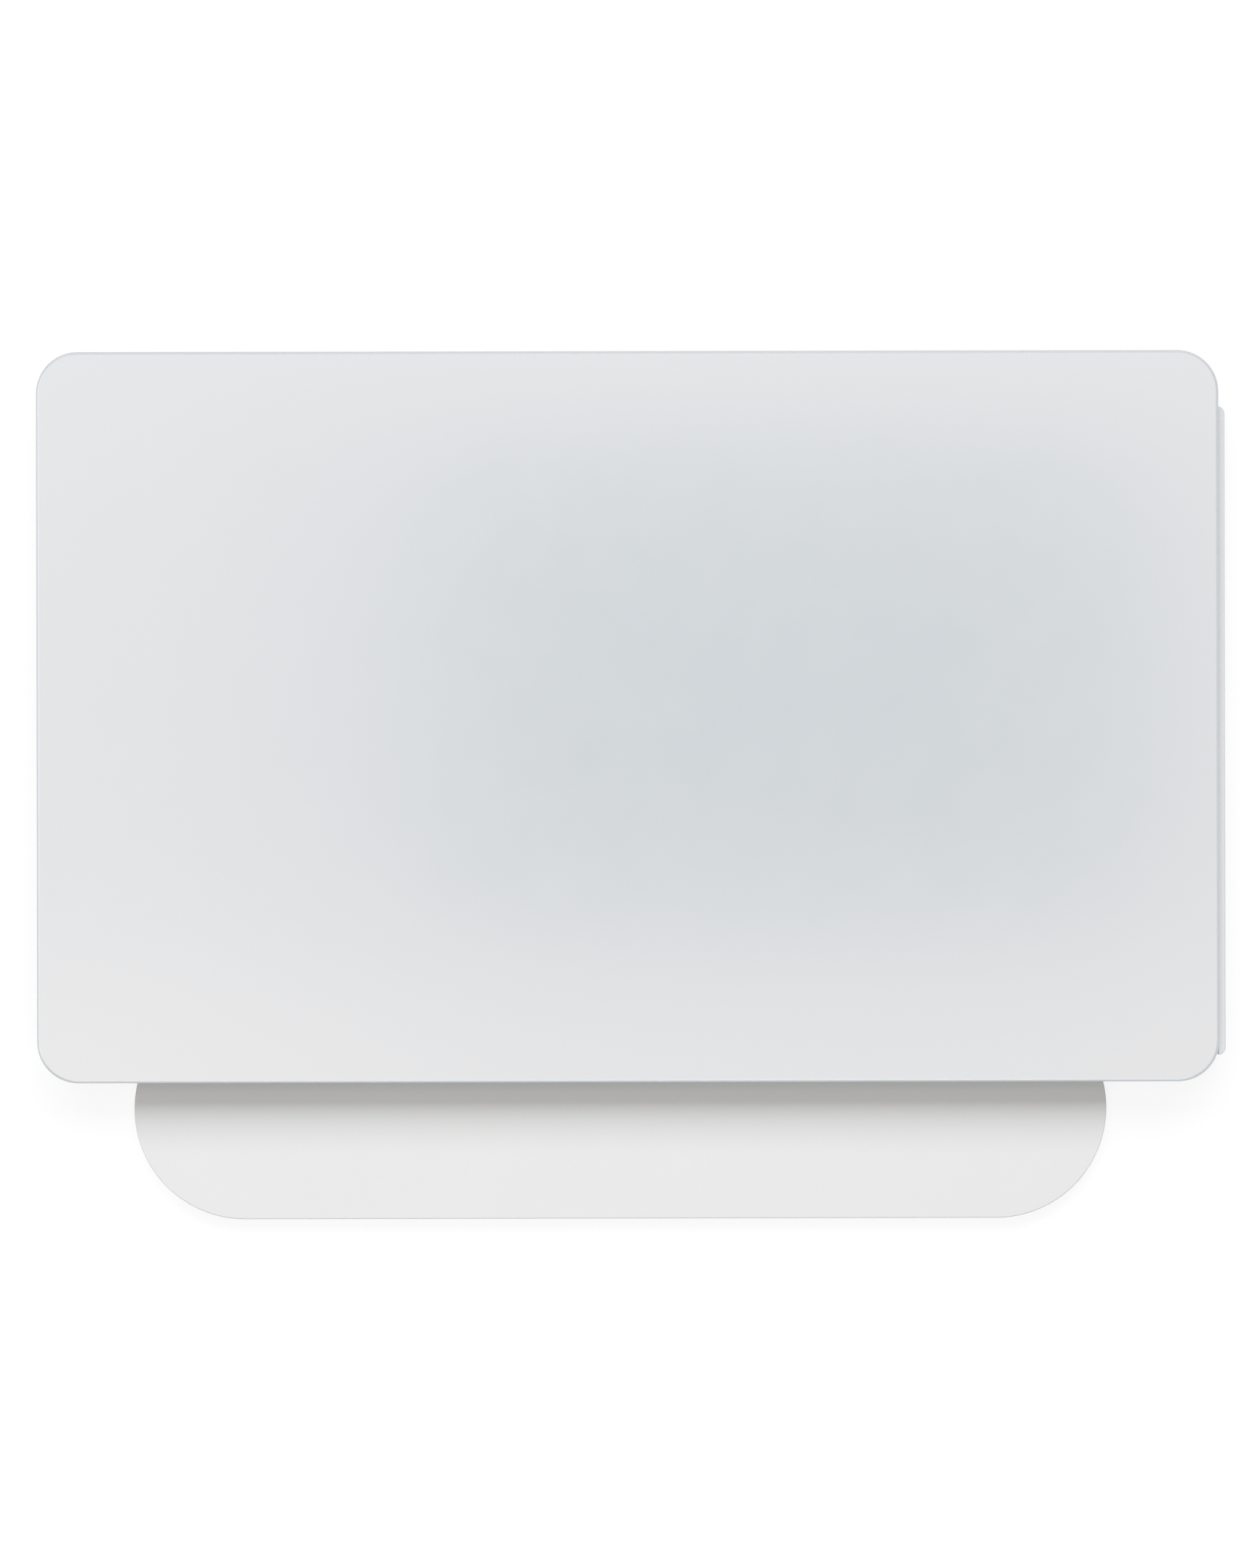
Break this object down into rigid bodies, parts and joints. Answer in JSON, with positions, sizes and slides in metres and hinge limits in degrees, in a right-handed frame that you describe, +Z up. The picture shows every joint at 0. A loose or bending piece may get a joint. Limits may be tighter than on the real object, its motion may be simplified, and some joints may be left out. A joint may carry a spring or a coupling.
{
  "type": "haptic trackpad",
  "caption": "Wide glass trackpad floating on force-sensing spring beams over a flat haptic motor, in a low aluminium tray with a pill-shaped front lip and a side rail.",
  "frame": {"origin": "middle of the whole outline, on the surface that the feet and lip pads stand on", "axes": "+X to the user's right, +Y towards the rear edge, +Z up out of the touch glass"},
  "size_m": [0.161, 0.1178, 0.007],
  "materials": {
    "etched_glass": "satin etched face, back-painted pale grey",
    "anodised_aluminium": "fine bead-blasted, anodised",
    "rail_aluminium": "fine brushed, anodised",
    "lip_plastic": "fine moulded grain",
    "rubber": "matte",
    "screw_steel": "nickel plated",
    "spring_steel": "ground along the beam",
    "shim_brass": "rolled foil",
    "base_steel": "rolled, plated",
    "core_steel": "laminated electrical steel",
    "copper": "enamelled copper wire",
    "board": "dark solder mask",
    "chip_plastic": "moulded epoxy",
    "shield_steel": "tin plated",
    "passive_ceramic": "fired ceramic with tinned ends",
    "socket_plastic": "moulded",
    "latch_plastic": "moulded",
    "gold": "gold plated",
    "polyimide": "amber film",
    "gel": "translucent gel",
    "adhesive": "clear film on white"
  },
  "bodies": {
    "base": {"tray": "anodised_aluminium", "side_rail": "rail_aluminium", "front_lip": "lip_plastic", "lip_screws": "screw_steel", "lip_pads": "rubber", "tray_feet": "rubber", "motor_base": "base_steel", "motor_core": "core_steel", "motor_coils": "copper", "motor_terminal": "chip_plastic", "motor_screws": "screw_steel", "motor_flex": "polyimide", "beam_front_left": "spring_steel", "beam_front_right": "spring_steel", "beam_rear_left": "spring_steel", "beam_rear_right": "spring_steel", "strain_gauges": "polyimide", "gauge_tails": "polyimide", "levelling_shims": "shim_brass", "beam_screws": "screw_steel", "press_stops": "rubber"},
    "press_stage": {"beam_tip_discs": "spring_steel"},
    "touch_plate": {"gel_pads": "gel", "touch_glass": "etched_glass", "glass_adhesive": "adhesive", "sensor_board": "board", "armature_plate": "core_steel", "touch_controller": "chip_plastic", "shield_can": "shield_steel", "motor_driver": "chip_plastic", "force_amplifiers": "chip_plastic", "board_passives": "passive_ceramic", "motor_socket": "chip_plastic", "host_socket": "socket_plastic", "socket_contacts": "gold"},
    "latch": {"socket_latch": "latch_plastic"}
  },
  "joints": [
    {"name": "press", "type": "slide", "parent": "base", "child": "press_stage", "axis": [0, 0, -1], "range_m": [0, 0.00025], "stiffness_N_per_m": 12000, "springref_m": -0.00006, "deforming": ["beam_front_left", "beam_front_right", "beam_rear_left", "beam_rear_right", "strain_gauges", "gauge_tails", "motor_flex"]},
    {"name": "haptic_shake", "type": "slide", "parent": "press_stage", "child": "touch_plate", "axis": [1, 0, 0], "range_m": [-0.00015, 0.00015], "stiffness_N_per_m": 6000, "deforming": ["gel_pads", "gauge_tails", "motor_flex"]},
    {"name": "latch_flip", "type": "hinge", "parent": "touch_plate", "child": "latch", "pos_m": [-0.0005, 0.0551, 0.0044], "axis": [-1, 0, 0], "range_deg": [0, 90]}
  ]
}
